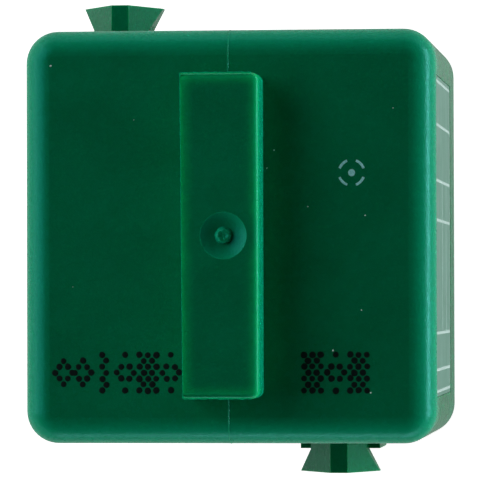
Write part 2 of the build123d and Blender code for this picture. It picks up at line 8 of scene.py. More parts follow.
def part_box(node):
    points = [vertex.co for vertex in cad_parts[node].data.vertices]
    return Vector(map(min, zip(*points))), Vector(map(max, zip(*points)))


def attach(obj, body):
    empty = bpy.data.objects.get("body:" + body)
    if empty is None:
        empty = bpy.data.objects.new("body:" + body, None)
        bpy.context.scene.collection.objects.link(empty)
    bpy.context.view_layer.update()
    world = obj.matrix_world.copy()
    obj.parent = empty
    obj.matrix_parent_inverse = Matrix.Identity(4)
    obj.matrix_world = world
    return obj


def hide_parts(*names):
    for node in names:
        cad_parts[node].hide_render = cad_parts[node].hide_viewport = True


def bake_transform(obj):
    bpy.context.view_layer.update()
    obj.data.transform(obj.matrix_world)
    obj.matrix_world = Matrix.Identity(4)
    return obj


# Plug-in cube relay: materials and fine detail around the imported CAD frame.
# Metres, in the CAD's frame: +Z up, blade tips at z = 0, the label on the +X wall.

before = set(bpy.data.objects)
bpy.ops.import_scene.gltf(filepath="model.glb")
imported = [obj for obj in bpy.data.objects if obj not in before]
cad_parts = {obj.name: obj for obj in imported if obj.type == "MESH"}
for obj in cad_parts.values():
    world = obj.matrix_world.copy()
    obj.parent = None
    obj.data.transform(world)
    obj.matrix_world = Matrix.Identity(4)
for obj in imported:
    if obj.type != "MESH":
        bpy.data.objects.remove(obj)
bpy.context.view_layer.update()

MM = 0.001
scene = bpy.context.scene
draw = random.Random(28)

# ---- Places, from the frame ----
cover_lo, cover_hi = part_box("cover")
label_lo, label_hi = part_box("side_label")
BAR_HEIGHT = 3.2 * MM
BAR_TOP = cover_hi.z
FACE = BAR_TOP - BAR_HEIGHT
HALF_Y = 14.05 * MM             # the lugs stand out past the walls, so the box can't say this
RIM = cover_lo.z
TOP_EDGE_RADIUS = 1.8 * MM

# ---- The bar's outline, seen from above ----
BAR_LEFT_BACK = -2.88 * MM
BAR_LEFT_FRONT = -2.73 * MM
BAR_RIGHT = 2.40 * MM
BAR_HALF_LENGTH = 10.91 * MM
BAR_EDGE = 0.5 * MM
DIMPLE_RADIUS = 1.6 * MM
DIMPLE_DEPTH = 0.45 * MM

# ---- Camera: nearly straight down, a little from the label's side ----
CAMERA_TARGET = Vector((0.81, -0.26, 35.0)) * MM
CAMERA_DISTANCE = 284.0 * MM
CAMERA_YAW = math.radians(5.97)
CAMERA_PITCH = math.radians(-0.785)
CAMERA_ROLL = math.radians(-0.147)
CAMERA_LENS = 315.3
SENSOR = 36.0


# ======== Mesh helpers ========

def add_piece(name, vertices, faces, material, body, sharp_angle=40):
    """A mesh piece with outward faces, smooth but for sharp edges, riding on a body if one is named."""
    mesh = bpy.data.meshes.new(name)
    mesh.from_pydata([tuple(v) for v in vertices], [], faces)
    work = bmesh.new()
    work.from_mesh(mesh)
    bmesh.ops.recalc_face_normals(work, faces=work.faces)
    work.to_mesh(mesh)
    work.free()
    mesh.shade_smooth()
    mesh.set_sharp_from_angle(angle=math.radians(sharp_angle))
    mesh.materials.append(material)
    piece = bpy.data.objects.new(name, mesh)
    scene.collection.objects.link(piece)
    if body:
        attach(piece, body)
    return piece


def join_shapes(shapes):
    """Several (vertices, faces) shapes as one."""
    vertices = []
    faces = []
    for more_vertices, more_faces in shapes:
        first = len(vertices)
        vertices += more_vertices
        faces += [[first + i for i in face] for face in more_faces]
    return vertices, faces


def bridge_rings(rings, closed=False):
    """Quads between rings of equal size, with flat ends unless the last ring joins the first."""
    size = len(rings[0])
    count = len(rings)
    vertices = [v for ring in rings for v in ring]
    faces = []
    for i in range(count if closed else count - 1):
        here = i * size
        there = (i + 1) % count * size
        for k in range(size):
            after = (k + 1) % size
            faces.append([here + k, here + after, there + after, there + k])
    if not closed:
        faces.append(list(range(size)))
        faces.append([(count - 1) * size + k for k in range(size)])
    return vertices, faces


def sweep(points, section, up=(0, 0, 1)):
    """A closed shape that follows points. section(i) gives the (side, over) offsets of ring i."""
    rings = []
    over = Vector(up)
    last = len(points) - 1
    for i, point in enumerate(points):
        along = (points[min(i + 1, last)] - points[max(i - 1, 0)]).normalized()
        side = along.cross(over)
        if side.length < 1e-6:
            side = along.orthogonal()
        side.normalize()
        over = side.cross(along).normalized()
        rings.append([point + side * a + over * b for a, b in section(i)])
    return bridge_rings(rings)


def circle(radius, sides, radius_b=None):
    """Offsets round a circle or an ellipse."""
    other = radius if radius_b is None else radius_b
    turns = [2 * math.pi * k / sides for k in range(sides)]
    return [(radius * math.cos(t), other * math.sin(t)) for t in turns]


def wire(points, radius, sides=8):
    """A round wire with slightly rounded ends."""
    last = len(points) - 1
    full = circle(radius, sides)
    small = circle(radius * 0.6, sides)
    return sweep(points, lambda i: small if i in (0, last) else full)


def smooth_path(points, rounds=3):
    """Corner cutting that keeps both ends."""
    path = [Vector(p) for p in points]
    for _ in range(rounds):
        cut = [path[0]]
        for a, b in zip(path, path[1:]):
            cut += [a.lerp(b, 0.25), a.lerp(b, 0.75)]
        cut.append(path[-1])
        path = cut
    return path


def spaced(path, count):
    """The path again with evenly spaced points."""
    lengths = [0.0]
    for a, b in zip(path, path[1:]):
        lengths.append(lengths[-1] + (b - a).length)
    points = []
    k = 0
    for i in range(count):
        target = lengths[-1] * i / (count - 1)
        while k < len(path) - 2 and lengths[k + 1] < target:
            k += 1
        step = lengths[k + 1] - lengths[k]
        points.append(path[k].lerp(path[k + 1], (target - lengths[k]) / step if step else 0))
    return points


def lathe(profile, centre, sides=48, axis="Z", closed=False):
    """A profile of (radius, height) points turned about an axis."""
    rings = []
    for k in range(sides):
        turn = 2 * math.pi * k / sides
        c, s = math.cos(turn), math.sin(turn)
        if axis == "Z":
            rings.append([centre + Vector((r * c, r * s, h)) for r, h in profile])
        else:
            rings.append([centre + Vector((h, r * c, r * s)) for r, h in profile])
    size = len(profile)
    vertices = [v for ring in rings for v in ring]
    faces = []
    for k in range(sides):
        here = k * size
        there = (k + 1) % sides * size
        for i in range(size if closed else size - 1):
            after = (i + 1) % size
            faces.append([here + i, here + after, there + after, there + i])
    if not closed:
        faces.append([k * size for k in range(sides)])
        faces.append([k * size + size - 1 for k in range(sides)])
    return vertices, faces


def blob(centre, size, lumps, rough, seed, rings=10, sides=20):
    """A lumpy closed drop: an ellipsoid whose surface is pushed by noise."""
    shift = Vector((seed * 7.3, seed * 3.1, seed * 5.7))
    columns = []
    for k in range(sides):
        turn = 2 * math.pi * k / sides
        column = []
        for i in range(1, rings):
            tilt = math.pi * i / rings
            way = Vector((math.sin(tilt) * math.cos(turn), math.sin(tilt) * math.sin(turn), math.cos(tilt)))
            push = 1 + rough * noise.noise(way * lumps + shift)
            column.append(centre + Vector((way.x * size[0], way.y * size[1], way.z * size[2])) * push)
        columns.append(column)
    vertices = [v for column in columns for v in column]
    inner = rings - 1
    faces = []
    for k in range(sides):
        here = k * inner
        there = (k + 1) % sides * inner
        faces += [[here + i, here + i + 1, there + i + 1, there + i] for i in range(inner - 1)]
    top = len(vertices)
    vertices += [centre + Vector((0, 0, size[2])), centre - Vector((0, 0, size[2]))]
    for k in range(sides):
        there = (k + 1) % sides * inner
        faces.append([top, k * inner, there])
        faces.append([top + 1, k * inner + inner - 1, there + inner - 1])
    return vertices, faces


# ======== Material helpers ========

class Paint:
    """One material's nodes. Every place is read in the object's own metres, so the paint stays on it."""

    def __init__(self, name, **sockets):
        self.material = bpy.data.materials.new(name)
        self.material.use_nodes = True
        self.tree = self.material.node_tree
        self.shader = self.tree.nodes["Principled BSDF"]
        coordinates = self.add("ShaderNodeTexCoord")
        self.place = coordinates.outputs["Object"]
        self.normal = coordinates.outputs["Normal"]
        for socket, value in sockets.items():
            self.shader.inputs[socket.replace("_", " ")].default_value = value

    def add(self, kind, links=(), **settings):
        """A node, its settings, and the (input, value or socket) pairs to feed it."""
        node = self.tree.nodes.new(kind)
        for key, value in settings.items():
            setattr(node, key, value)
        for key, value in links:
            self.feed(node.inputs[key], value)
        return node

    def feed(self, socket, value):
        """Link a socket to another, or set its value."""
        if isinstance(value, bpy.types.NodeSocket):
            self.tree.links.new(value, socket)
        else:
            socket.default_value = value

    def grain(self, size, detail=3.0, stretch=(1, 1, 1), distort=0.0):
        """Noise from 0 to 1 with features of about this size in metres."""
        placed = self.add("ShaderNodeMapping", [("Vector", self.place), ("Scale", stretch)])
        node = self.add("ShaderNodeTexNoise", [("Vector", placed.outputs[0]), ("Scale", 1 / size),
                                               ("Detail", detail), ("Distortion", distort)])
        return node.outputs["Fac"]

    def span(self, value, low, high, to_low=0.0, to_high=1.0):
        """Maps low..high to to_low..to_high, and holds beyond."""
        node = self.add("ShaderNodeMapRange", [("Value", value), ("From Min", low), ("From Max", high),
                                               ("To Min", to_low), ("To Max", to_high)], clamp=True)
        return node.outputs[0]

    def sum(self, operation, a, b):
        """One arithmetic step on two values."""
        return self.add("ShaderNodeMath", [(0, a), (1, b)], operation=operation).outputs[0]

    def mix(self, share, a, b):
        """Colour a at 0, colour b at 1."""
        colours = [c if isinstance(c, bpy.types.NodeSocket) else (*c, 1.0) for c in (a, b)]
        return self.add("ShaderNodeMix", [(0, share), (6, colours[0]), (7, colours[1])],
                        data_type="RGBA").outputs[2]

    def edges(self, radius, reach=0.22):
        """1 on an edge's line, falling to 0 at the radius from it."""
        bevel = self.add("ShaderNodeBevel", [("Radius", radius)], samples=4)
        flat = self.add("ShaderNodeNewGeometry").outputs["Normal"]
        dot = self.add("ShaderNodeVectorMath", [(0, bevel.outputs[0]), (1, flat)], operation="DOT_PRODUCT")
        return self.span(dot.outputs["Value"], 1.0, 1.0 - reach)

    def lean(self):
        """0 on a level surface, rising to 1 on an upright one."""
        upright = self.add("ShaderNodeSeparateXYZ", [(0, self.normal)]).outputs[2]
        level = self.sum("MULTIPLY", upright, upright)
        return self.sum("SQRT", self.sum("SUBTRACT", 1.0, level), 0.0)

    def openness(self, distance):
        """1 where the surface stands free, lower in corners."""
        return self.add("ShaderNodeAmbientOcclusion", [("Distance", distance)], samples=4).outputs["AO"]

    def finish(self, colour, roughness, bumps=()):
        """Feeds the shader. bumps are (height, depth in metres, strength) triples."""
        self.feed(self.shader.inputs["Base Color"], colour)
        self.feed(self.shader.inputs["Roughness"], roughness)
        normal = None
        for height, depth, strength in bumps:
            links = [("Height", height), ("Distance", depth), ("Strength", strength)]
            if normal is not None:
                links.append(("Normal", normal))
            normal = self.add("ShaderNodeBump", links).outputs[0]
        if normal is not None:
            self.feed(self.shader.inputs["Normal"], normal)
        return self.material


# ======== Materials ========

GREEN = (0.001, 0.212, 0.087)
GREEN_DEEP = (0.001, 0.178, 0.070)
# painted light: the lighter green painted on upright surfaces near the top
GREEN_SIDE_LIGHT = (0.001, 0.370, 0.195)
GREEN_SCUFF = (0.012, 0.300, 0.150)
# the colour of random light flecks, and of the painted glow along the edges
GREEN_FLECK_AND_GLOW = (0.001, 0.560, 0.150)


def make_cover_plastic(name="cover_plastic", glow=1.0):
    """Green moulded plastic with a fine spark-eroded grain, and painted light: a painted glow along its edges
    and a lighter green painted on its upright surfaces near the top.
    """
    paint = Paint(name, Subsurface_Weight=0.35, Subsurface_Scale=0.6 * MM, Specular_IOR_Level=0.30,
                  Specular_Tint=(0.04, 0.85, 1.0, 1.0))
    paint.shader.inputs["Subsurface Radius"].default_value = (0.25, 1.0, 0.65)
    height = paint.add("ShaderNodeSeparateXYZ", [(0, paint.place)]).outputs[2]
    cloud = paint.grain(5 * MM, 4, distort=0.6)
    fleck = paint.grain(0.25 * MM, 2)
    scuff = paint.grain(1.6 * MM, 6, (1, 1, 0.3), 0.5)
    body = paint.mix(paint.span(cloud, 0.3, 0.7), GREEN_DEEP, GREEN)
    body = paint.mix(paint.span(scuff, 0.60, 0.80, 0, 0.16), body, GREEN_SCUFF)
    # Painted light: the fillets and the tops of the walls are painted a lighter green, standing in for light
    # from the sides and through the plastic.
    near_top = paint.span(height, FACE - 5.0 * MM, FACE - 1.4 * MM)
    body = paint.mix(paint.sum("MULTIPLY", paint.lean(), near_top), body, GREEN_SIDE_LIGHT)
    body = paint.mix(paint.span(fleck, 0.55, 0.8, 0, 0.12), body, GREEN_FLECK_AND_GLOW)
    # Painted highlight: the bar's edges broadly, away from the gate, and every sharp edge thinly, less so in
    # corners, are painted lighter, standing in for light coming out through the plastic's edges. A grain
    # makes this painted glow uneven.
    flat = paint.add("ShaderNodeVectorMath", [(0, paint.place), (1, (1, 1, 0))], operation="MULTIPLY")
    from_gate = paint.add("ShaderNodeVectorMath", [(0, flat.outputs[0])], operation="LENGTH").outputs["Value"]
    on_bar = paint.sum("MULTIPLY", paint.span(height, FACE + 0.6 * MM, FACE + 2.6 * MM),
                       paint.span(from_gate, 1.7 * MM, 2.5 * MM))
    broad = paint.sum("MULTIPLY", paint.edges(1.3 * MM, 0.12), on_bar)
    narrow = paint.sum("MULTIPLY", paint.edges(0.22 * MM), 0.35)
    exposed = paint.span(paint.openness(1.2 * MM), 0.35, 0.9)
    edge = paint.sum("MULTIPLY", paint.sum("MAXIMUM", broad, narrow), exposed)
    painted_edge_glow = paint.sum("MULTIPLY", edge, paint.span(paint.grain(0.6 * MM, 4), 0.3, 0.6, 0.75 * glow, glow))
    colour = paint.mix(painted_edge_glow, body, GREEN_FLECK_AND_GLOW)
    spark = paint.grain(0.13 * MM, 3)
    roughness = paint.span(paint.grain(0.8 * MM, 5), 0.3, 0.7, 0.22, 0.32)
    return paint.finish(colour, roughness, [(spark, 0.016 * MM, 1.0)])


def make_metal(name, pale, dark, grain, rough, stretch=(1, 1, 1), stain=None, edge=None):
    """A metal with drawn or rolled grain, stains and rubbed edges."""
    paint = Paint(name, Metallic=1.0)
    streak = paint.grain(grain, 4, stretch)
    patch = paint.grain(grain * 12, 4, distort=0.8)
    colour = paint.mix(paint.span(streak, 0.3, 0.7), dark, pale)
    colour = paint.mix(paint.span(patch, 0.52, 0.75, 0, 0.28), colour, stain or dark)
    rubbed = paint.sum("MULTIPLY", paint.edges(0.12 * MM), paint.span(patch, 0.3, 0.6, 0.3, 0.7))
    colour = paint.mix(rubbed, colour, edge or pale)
    low, high = rough
    duller = paint.span(patch, 0.4, 0.8, 0, 0.12)
    roughness = paint.sum("ADD", paint.span(streak, 0.3, 0.7, low, high), duller)
    return paint.finish(colour, roughness, [(patch, 0.012 * MM, 0.2), (streak, 0.004 * MM, 0.5)])


def make_plastic(name, pale, dark, grain, rough, **sockets):
    """A moulded plastic with flow clouds, a fine grain and rubbed edges."""
    paint = Paint(name, **sockets)
    cloud = paint.grain(3 * MM, 4, distort=1.0)
    fine = paint.grain(grain, 3)
    colour = paint.mix(paint.span(cloud, 0.3, 0.7), dark, pale)
    rubbed = paint.sum("MULTIPLY", paint.edges(0.15 * MM), paint.span(fine, 0.3, 0.6, 0.2, 0.6))
    colour = paint.mix(rubbed, colour, [min(1.0, c * 1.6 + 0.02) for c in pale])
    low, high = rough
    return paint.finish(colour, paint.span(cloud, 0.3, 0.7, low, high), [(fine, 0.01 * MM, 0.4)])


def make_label_film():
    """Pale green film, a little mottled, with scuffs."""
    paint = Paint("label_film", Specular_IOR_Level=0.3)
    cloud = paint.grain(2.5 * MM, 4)
    scuff = paint.grain(0.5 * MM, 4, (1, 0.15, 1))
    colour = paint.mix(paint.span(cloud, 0.3, 0.7), (0.115, 0.285, 0.215), (0.150, 0.325, 0.260))
    colour = paint.mix(paint.span(scuff, 0.62, 0.75, 0, 0.5), colour, (0.21, 0.36, 0.29))
    fine = paint.grain(0.08 * MM, 2)
    return paint.finish(colour, paint.span(scuff, 0.3, 0.7, 0.32, 0.5), [(fine, 0.004 * MM, 0.4)])


def make_ink(name, dark, pale, rough):
    """Printed ink: uneven where it dried thin."""
    paint = Paint(name, Specular_IOR_Level=0.12)
    thin = paint.grain(0.12 * MM, 4)
    colour = paint.mix(paint.span(thin, 0.35, 0.75), dark, pale)
    return paint.finish(colour, paint.span(thin, 0.3, 0.7, rough, rough + 0.15), [(thin, 0.006 * MM, 0.5)])


def make_enamel_wire():
    """Copper wire under clear lacquer."""
    paint = Paint("enamelled_copper", Metallic=0.85, Coat_Weight=0.8, Coat_Roughness=0.12)
    along = paint.grain(0.7 * MM, 3, (1, 1, 4))
    colour = paint.mix(paint.span(along, 0.3, 0.7), (0.42, 0.115, 0.030), (0.62, 0.21, 0.065))
    fine = paint.grain(0.05 * MM, 2)
    return paint.finish(colour, paint.span(along, 0.3, 0.7, 0.22, 0.36), [(fine, 0.003 * MM, 0.4)])


def make_resistor_body():
    """Blue-grey lacquer with four plain rings painted round it."""
    paint = Paint("resistor_body", Coat_Weight=0.5, Coat_Roughness=0.15)
    cloud = paint.grain(0.5 * MM, 4)
    colour = paint.mix(paint.span(cloud, 0.3, 0.7), (0.10, 0.24, 0.36), (0.14, 0.30, 0.42))
    wobble = paint.span(paint.grain(0.4 * MM, 2), 0.3, 0.7, -0.04 * MM, 0.04 * MM)
    x = paint.sum("ADD", paint.add("ShaderNodeSeparateXYZ", [(0, paint.place)]).outputs[0], wobble)
    rings = ((-2.5, (0.05, 0.03, 0.02)), (-1.2, (0.30, 0.02, 0.015)), (0.0, (0.03, 0.03, 0.03)),
             (1.2, (0.42, 0.20, 0.03)))
    for middle, shade in rings:
        away = paint.sum("ABSOLUTE", paint.sum("SUBTRACT", x, middle * MM), 0)
        colour = paint.mix(paint.span(away, 0.32 * MM, 0.26 * MM), colour, shade)
    return paint.finish(colour, paint.span(cloud, 0.3, 0.7, 0.3, 0.42), [(cloud, 0.01 * MM, 0.3)])


ROLLED = (1, 1, 0.12)
cover_plastic = make_cover_plastic()
# The flash, gate stub, dimple lip and parting line use the cover's plastic with its painted edge glow a fifth
# stronger.
flash_plastic = make_cover_plastic("cover_flash", glow=1.2)
label_film = make_label_film()
base_plastic = make_plastic("base_plastic", (0.022, 0.022, 0.024), (0.010, 0.010, 0.012), 0.14 * MM,
                            (0.36, 0.52))
bobbin_plastic = make_plastic("bobbin_plastic", (0.70, 0.62, 0.46), (0.58, 0.50, 0.35), 0.10 * MM,
                              (0.35, 0.50), Subsurface_Weight=0.3, Subsurface_Scale=0.5 * MM)
tinned_brass = make_metal("tinned_brass", (0.66, 0.65, 0.61), (0.50, 0.49, 0.46), 0.12 * MM, (0.22, 0.36),
                          ROLLED, stain=(0.42, 0.40, 0.35), edge=(0.72, 0.60, 0.34))
plated_steel = make_metal("plated_steel", (0.60, 0.61, 0.60), (0.42, 0.43, 0.43), 0.25 * MM, (0.30, 0.46),
                          stain=(0.50, 0.47, 0.38), edge=(0.74, 0.74, 0.73))
spring_steel = make_metal("spring_steel", (0.56, 0.56, 0.57), (0.34, 0.34, 0.36), 0.08 * MM, (0.22, 0.34))
bright_rivet = make_metal("bright_rivet", (0.70, 0.67, 0.60), (0.50, 0.47, 0.41), 0.10 * MM, (0.24, 0.38))
copper_braid = make_metal("bare_copper_braid", (0.76, 0.36, 0.20), (0.48, 0.19, 0.10), 0.05 * MM,
                          (0.28, 0.42), (1, 1, 0.2), stain=(0.34, 0.14, 0.08))
copper_alloy = make_metal("copper_alloy", (0.76, 0.47, 0.27), (0.60, 0.34, 0.18), 0.10 * MM, (0.22, 0.34),
                          (1, 0.1, 1), stain=(0.46, 0.24, 0.14), edge=(0.86, 0.62, 0.42))
silver_alloy = make_metal("silver_alloy", (0.84, 0.82, 0.78), (0.62, 0.60, 0.56), 0.10 * MM, (0.24, 0.40),
                          stain=(0.38, 0.34, 0.30))
tinned_wire = make_metal("tinned_wire", (0.72, 0.71, 0.68), (0.52, 0.51, 0.49), 0.08 * MM, (0.2, 0.34))
solder = make_metal("solder", (0.74, 0.74, 0.75), (0.54, 0.54, 0.56), 0.15 * MM, (0.14, 0.30))
enamel_wire = make_enamel_wire()
resistor_lacquer = make_resistor_body()
dark_ink = make_ink("dark_ink", (0.0008, 0.0050, 0.0048), (0.0015, 0.0130, 0.0110), 0.6)
pale_ink = make_ink("pale_ink", (0.40, 0.90, 0.92), (0.24, 0.68, 0.68), 0.5)
dust = make_ink("dust", (0.88, 0.95, 0.92), (0.60, 0.82, 0.78), 0.6)
label_ink = make_ink("label_ink", (0.52, 0.68, 0.64), (0.36, 0.54, 0.49), 0.5)

CAD_MATERIALS = {
    "cover": cover_plastic, "side_label": label_film, "base_plate": base_plastic,
    "common_terminal": tinned_brass, "normally_open_terminal": tinned_brass,
    "normally_closed_terminal": tinned_brass, "coil_terminal_left": tinned_brass,
    "coil_terminal_right": tinned_brass, "terminal_rivets": bright_rivet, "yoke": plated_steel,
    "coil_core": plated_steel, "armature": plated_steel, "coil_bobbin": bobbin_plastic,
    "coil_winding": enamel_wire, "coil_lead_wires": enamel_wire, "contact_blade": copper_alloy,
    "armature_rivets": bright_rivet, "moving_contact": silver_alloy, "normally_open_contact": silver_alloy,
    "normally_closed_contact": silver_alloy, "return_spring": spring_steel, "shunt_braid": copper_braid,
    "suppression_resistor": resistor_lacquer, "resistor_leads": tinned_wire,
}
for node_name, material in CAD_MATERIALS.items():
    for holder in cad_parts[node_name].material_slots:
        holder.material = material


# ======== The cover's fine detail ========

def bar_outline():
    """The bar's top outline with its two rounded corners, anticlockwise from the back left corner."""
    back, front, left_back, left_front = BAR_HALF_LENGTH, -BAR_HALF_LENGTH, BAR_LEFT_BACK, BAR_LEFT_FRONT
    points = [Vector((left_back, back, 0)), Vector((left_front, front, 0))]
    for middle_y, start in ((front + BAR_EDGE, -90), (back - BAR_EDGE, 0)):
        for step in range(7):
            turn = math.radians(start + step * 15)
            points.append(Vector((BAR_RIGHT - BAR_EDGE + BAR_EDGE * math.cos(turn),
                                  middle_y + BAR_EDGE * math.sin(turn), 0)))
    return points


FLASH_WIDTH = 0.026 * MM
FLASH_STEP = 0.07 * MM
FLASH_DROP = 0.014 * MM         # how far its middle lies below the bar's top


def make_bar_flash():
    """Ragged moulding flash on the bar's sharp edges: both ends and the left side."""
    outline = bar_outline()
    right_end = BAR_RIGHT - BAR_EDGE
    runs = (([outline[-1], outline[0]], 1.6), ([outline[0], outline[1]], 0.8),
            ([outline[1], Vector((right_end, -BAR_HALF_LENGTH, 0))], 1.6))
    shapes = []
    for run, rough in runs:
        count = int((run[1] - run[0]).length / FLASH_STEP)
        along = (run[1] - run[0]).normalized()
        outward = along.cross(Vector((0, 0, 1)))
        rings = []
        for i in range(count + 1):
            point = run[0].lerp(run[1], i / count)
            torn = noise.noise(point / (0.35 * MM)) + 0.6 * noise.noise(point / (0.12 * MM))
            width = FLASH_WIDTH * max(0.25, 1 + rough * torn)
            lift = 0.012 * MM * noise.noise(point / (0.8 * MM) + Vector((9, 4, 2)))
            top = BAR_TOP - FLASH_DROP
            inner = point - outward * 0.06 * MM
            rings.append([inner + Vector((0, 0, top)), point + outward * width + Vector((0, 0, top + lift)),
                          point + outward * width * 0.9 + Vector((0, 0, top + lift - 0.03 * MM)),
                          inner + Vector((0, 0, top - 0.12 * MM))])
        shapes.append(bridge_rings(rings))
    vertices, faces = join_shapes(shapes)
    add_piece("bar_flash", vertices, faces, flash_plastic, "cover", 60)


GATE_PROFILE = ((0.62, 0.00), (0.58, 0.09), (0.52, 0.20), (0.47, 0.30), (0.43, 0.37), (0.36, 0.415),
                (0.27, 0.40), (0.19, 0.36), (0.10, 0.35))       # (radius, height) in mm
GATE_LIMIT = 0.435              # no part of the stub is higher than this above the dimple's floor, in mm


def make_gate_scar():
    """The torn stub of the moulding gate in the dimple, over the plain stub of the frame."""
    floor = BAR_TOP - DIMPLE_DEPTH
    sides = 40
    rings = []
    for radius, height in GATE_PROFILE:
        ring = []
        for k in range(sides):
            turn = 2 * math.pi * k / sides
            way = Vector((math.cos(turn), math.sin(turn), 0))
            seed = way * 1.6 + Vector((0, 0, height * 9))
            torn = noise.noise(seed) + 0.5 * noise.noise(seed * 3)
            share = height / 0.4
            reach = radius * (1 + 0.10 * torn)
            raised = min(height + 0.045 * share * torn, GATE_LIMIT)
            ring.append(Vector((way.x * reach, way.y * reach, raised)) * MM + Vector((0, 0, floor)))
        rings.append(ring)
    vertices, faces = bridge_rings(rings)
    add_piece("gate_scar", vertices, faces, flash_plastic, "cover", 50)


LIP_RADIUS = DIMPLE_RADIUS + 0.02 * MM
LIP_HALF_WIDTH = 0.075 * MM
LIP_HALF_HEIGHT = 0.022 * MM
LIP_DROP = 0.024 * MM           # keeps its top just under the bar's top


def make_dimple_rim():
    """The small lip at the dimple's edge, level with the bar's top."""
    profile = []
    for k in range(10):
        turn = 2 * math.pi * k / 10
        profile.append((LIP_RADIUS + LIP_HALF_WIDTH * math.cos(turn), LIP_HALF_HEIGHT * math.sin(turn)))
    vertices, faces = lathe(profile, Vector((0, 0, BAR_TOP - LIP_DROP)), 72, closed=True)
    add_piece("dimple_rim", vertices, faces, flash_plastic, "cover")


def make_parting_line():
    """The raised line left by the mould's split, over the face, the fillets and down both lug walls."""
    shapes = []
    section = circle(0.045 * MM, 6, 0.028 * MM)
    level_end = HALF_Y - TOP_EDGE_RADIUS
    for side in (-1, 1):
        points = [Vector((0, side * (BAR_HALF_LENGTH + (level_end - BAR_HALF_LENGTH) * i / 6), FACE))
                  for i in range(6)]
        for step in range(10):
            turn = math.radians(step * 10)
            points.append(Vector((0, side * (level_end + TOP_EDGE_RADIUS * math.sin(turn)),
                                  FACE - TOP_EDGE_RADIUS + TOP_EDGE_RADIUS * math.cos(turn))))
        points.append(Vector((0, side * HALF_Y, RIM + 0.2 * MM)))
        shapes.append(sweep(points, lambda i: section, up=(0, 0.1, 1)))
    vertices, faces = join_shapes(shapes)
    add_piece("parting_line", vertices, faces, flash_plastic, "cover")


def ink_drop(x, y, radius, seed):
    """One flat drop of ink on the face, a little out of round."""
    sides = 14
    rings = []
    for share, height in ((1.0, -0.010), (1.0, 0.006), (0.86, 0.013), (0.45, 0.015)):
        ring = []
        for k in range(sides):
            turn = 2 * math.pi * k / sides
            way = Vector((math.cos(turn), math.sin(turn), 0))
            reach = radius * share * (1 + 0.10 * noise.noise(way + Vector((seed, seed * 0.7, 0))))
            ring.append(Vector((x + way.x * reach, y + way.y * reach, FACE + height * MM)))
        rings.append(ring)
    return bridge_rings(rings)


COLUMN_PITCH = 0.285 * MM
ROW_PITCH = 0.402 * MM
DOT_RADIUS = 0.215 * MM
CODE_Y = -9.22 * MM
UNDER_BAR = BAR_LEFT_FRONT - 0.1 * MM
CODE_PATTERNS = {               # which of a 5 by 7 field's places hold a drop
    "ring": lambda c, r: abs(c - 2) + abs(r - 3) == 2,
    "diamond": lambda c, r: round(1.5 * abs(c - 2)) + abs(r - 3) == 3,
    "weave": lambda c, r: (c + r) % 2 == 0,
    "zigzag": lambda c, r: c == 2 + r % 2,
}
CODE_LEFT = ((-11.23, "ring"), (-9.92, "ring"), (-8.60, "zigzag"), (-7.03, "diamond"), (-5.48, "weave"),
             (-3.92, "diamond"))        # (middle x in mm, pattern)
CODE_RIGHT = ((5.70, "weave"), (7.26, "diamond"), (8.82, "weave"))


def make_code(name, marks):
    """A row of plain dot patterns, printed by drops of dark ink."""
    drops = []
    for x_mm, pattern in marks:
        for column in range(5):
            for row in range(7):
                x = x_mm * MM + (column - 2) * COLUMN_PITCH
                if not CODE_PATTERNS[pattern](column, row) or UNDER_BAR < x < 0:
                    continue
                drops.append(ink_drop(x + draw.uniform(-1, 1) * 0.02 * MM,
                                      CODE_Y + (3 - row) * ROW_PITCH + draw.uniform(-1, 1) * 0.025 * MM,
                                      DOT_RADIUS * draw.uniform(0.92, 1.1), draw.uniform(0, 50)))
    vertices, faces = join_shapes(drops)
    add_piece(name, vertices, faces, dark_ink, "cover", 60)


MARK_CENTRE = Vector((8.38, 4.25, 0)) * MM
MARK_RADIUS = 0.86 * MM
MARK_DOT = 0.24 * MM
MARK_LINE = 0.085 * MM          # half the arcs' width
MARK_ARC = 50                   # degrees that each of the four arcs spans
MARK_STEPS = 14


def make_pale_mark():
    """A generic pale mark: a broken ring round a small dot."""
    shapes = [ink_drop(MARK_CENTRE.x, MARK_CENTRE.y, MARK_DOT, 3.0)]
    for start in (20, 110, 200, 290):
        points = []
        widths = []
        for step in range(MARK_STEPS + 1):
            turn = math.radians(start + step * MARK_ARC / MARK_STEPS)
            points.append(Vector((MARK_CENTRE.x + MARK_RADIUS * math.cos(turn),
                                  MARK_CENTRE.y + MARK_RADIUS * math.sin(turn), FACE + 0.002 * MM)))
            widths.append(MARK_LINE * (1 + 0.25 * noise.noise(Vector((step, start, 0)) * 0.7)))
        shapes.append(sweep(points, lambda i: circle(widths[i], 8, 0.012 * MM)))
    vertices, faces = join_shapes(shapes)
    add_piece("pale_mark", vertices, faces, pale_ink, "cover", 60)


# Each speck's x, y and half length in mm, and its heading in degrees
SPECKS = ((-12.09, 11.62, 0.07, 20), (3.14, 5.80, 0.06, 70), (2.66, 4.59, 0.045, 10),
          (5.42, 1.98, 0.05, 140), (9.29, 1.37, 0.05, 60), (9.02, -5.01, 0.045, 100),
          (7.09, -7.72, 0.065, 80), (9.63, -10.58, 0.06, 60), (-6.4, 7.9, 0.035, 30),
          (11.2, 8.6, 0.035, 110), (-10.6, -3.4, 0.03, 50))
SPECK_SECTIONS = ((-1, 0.3), (-0.4, 1.0), (0.4, 0.8), (1, 0.25))        # (place along it, share of its width)


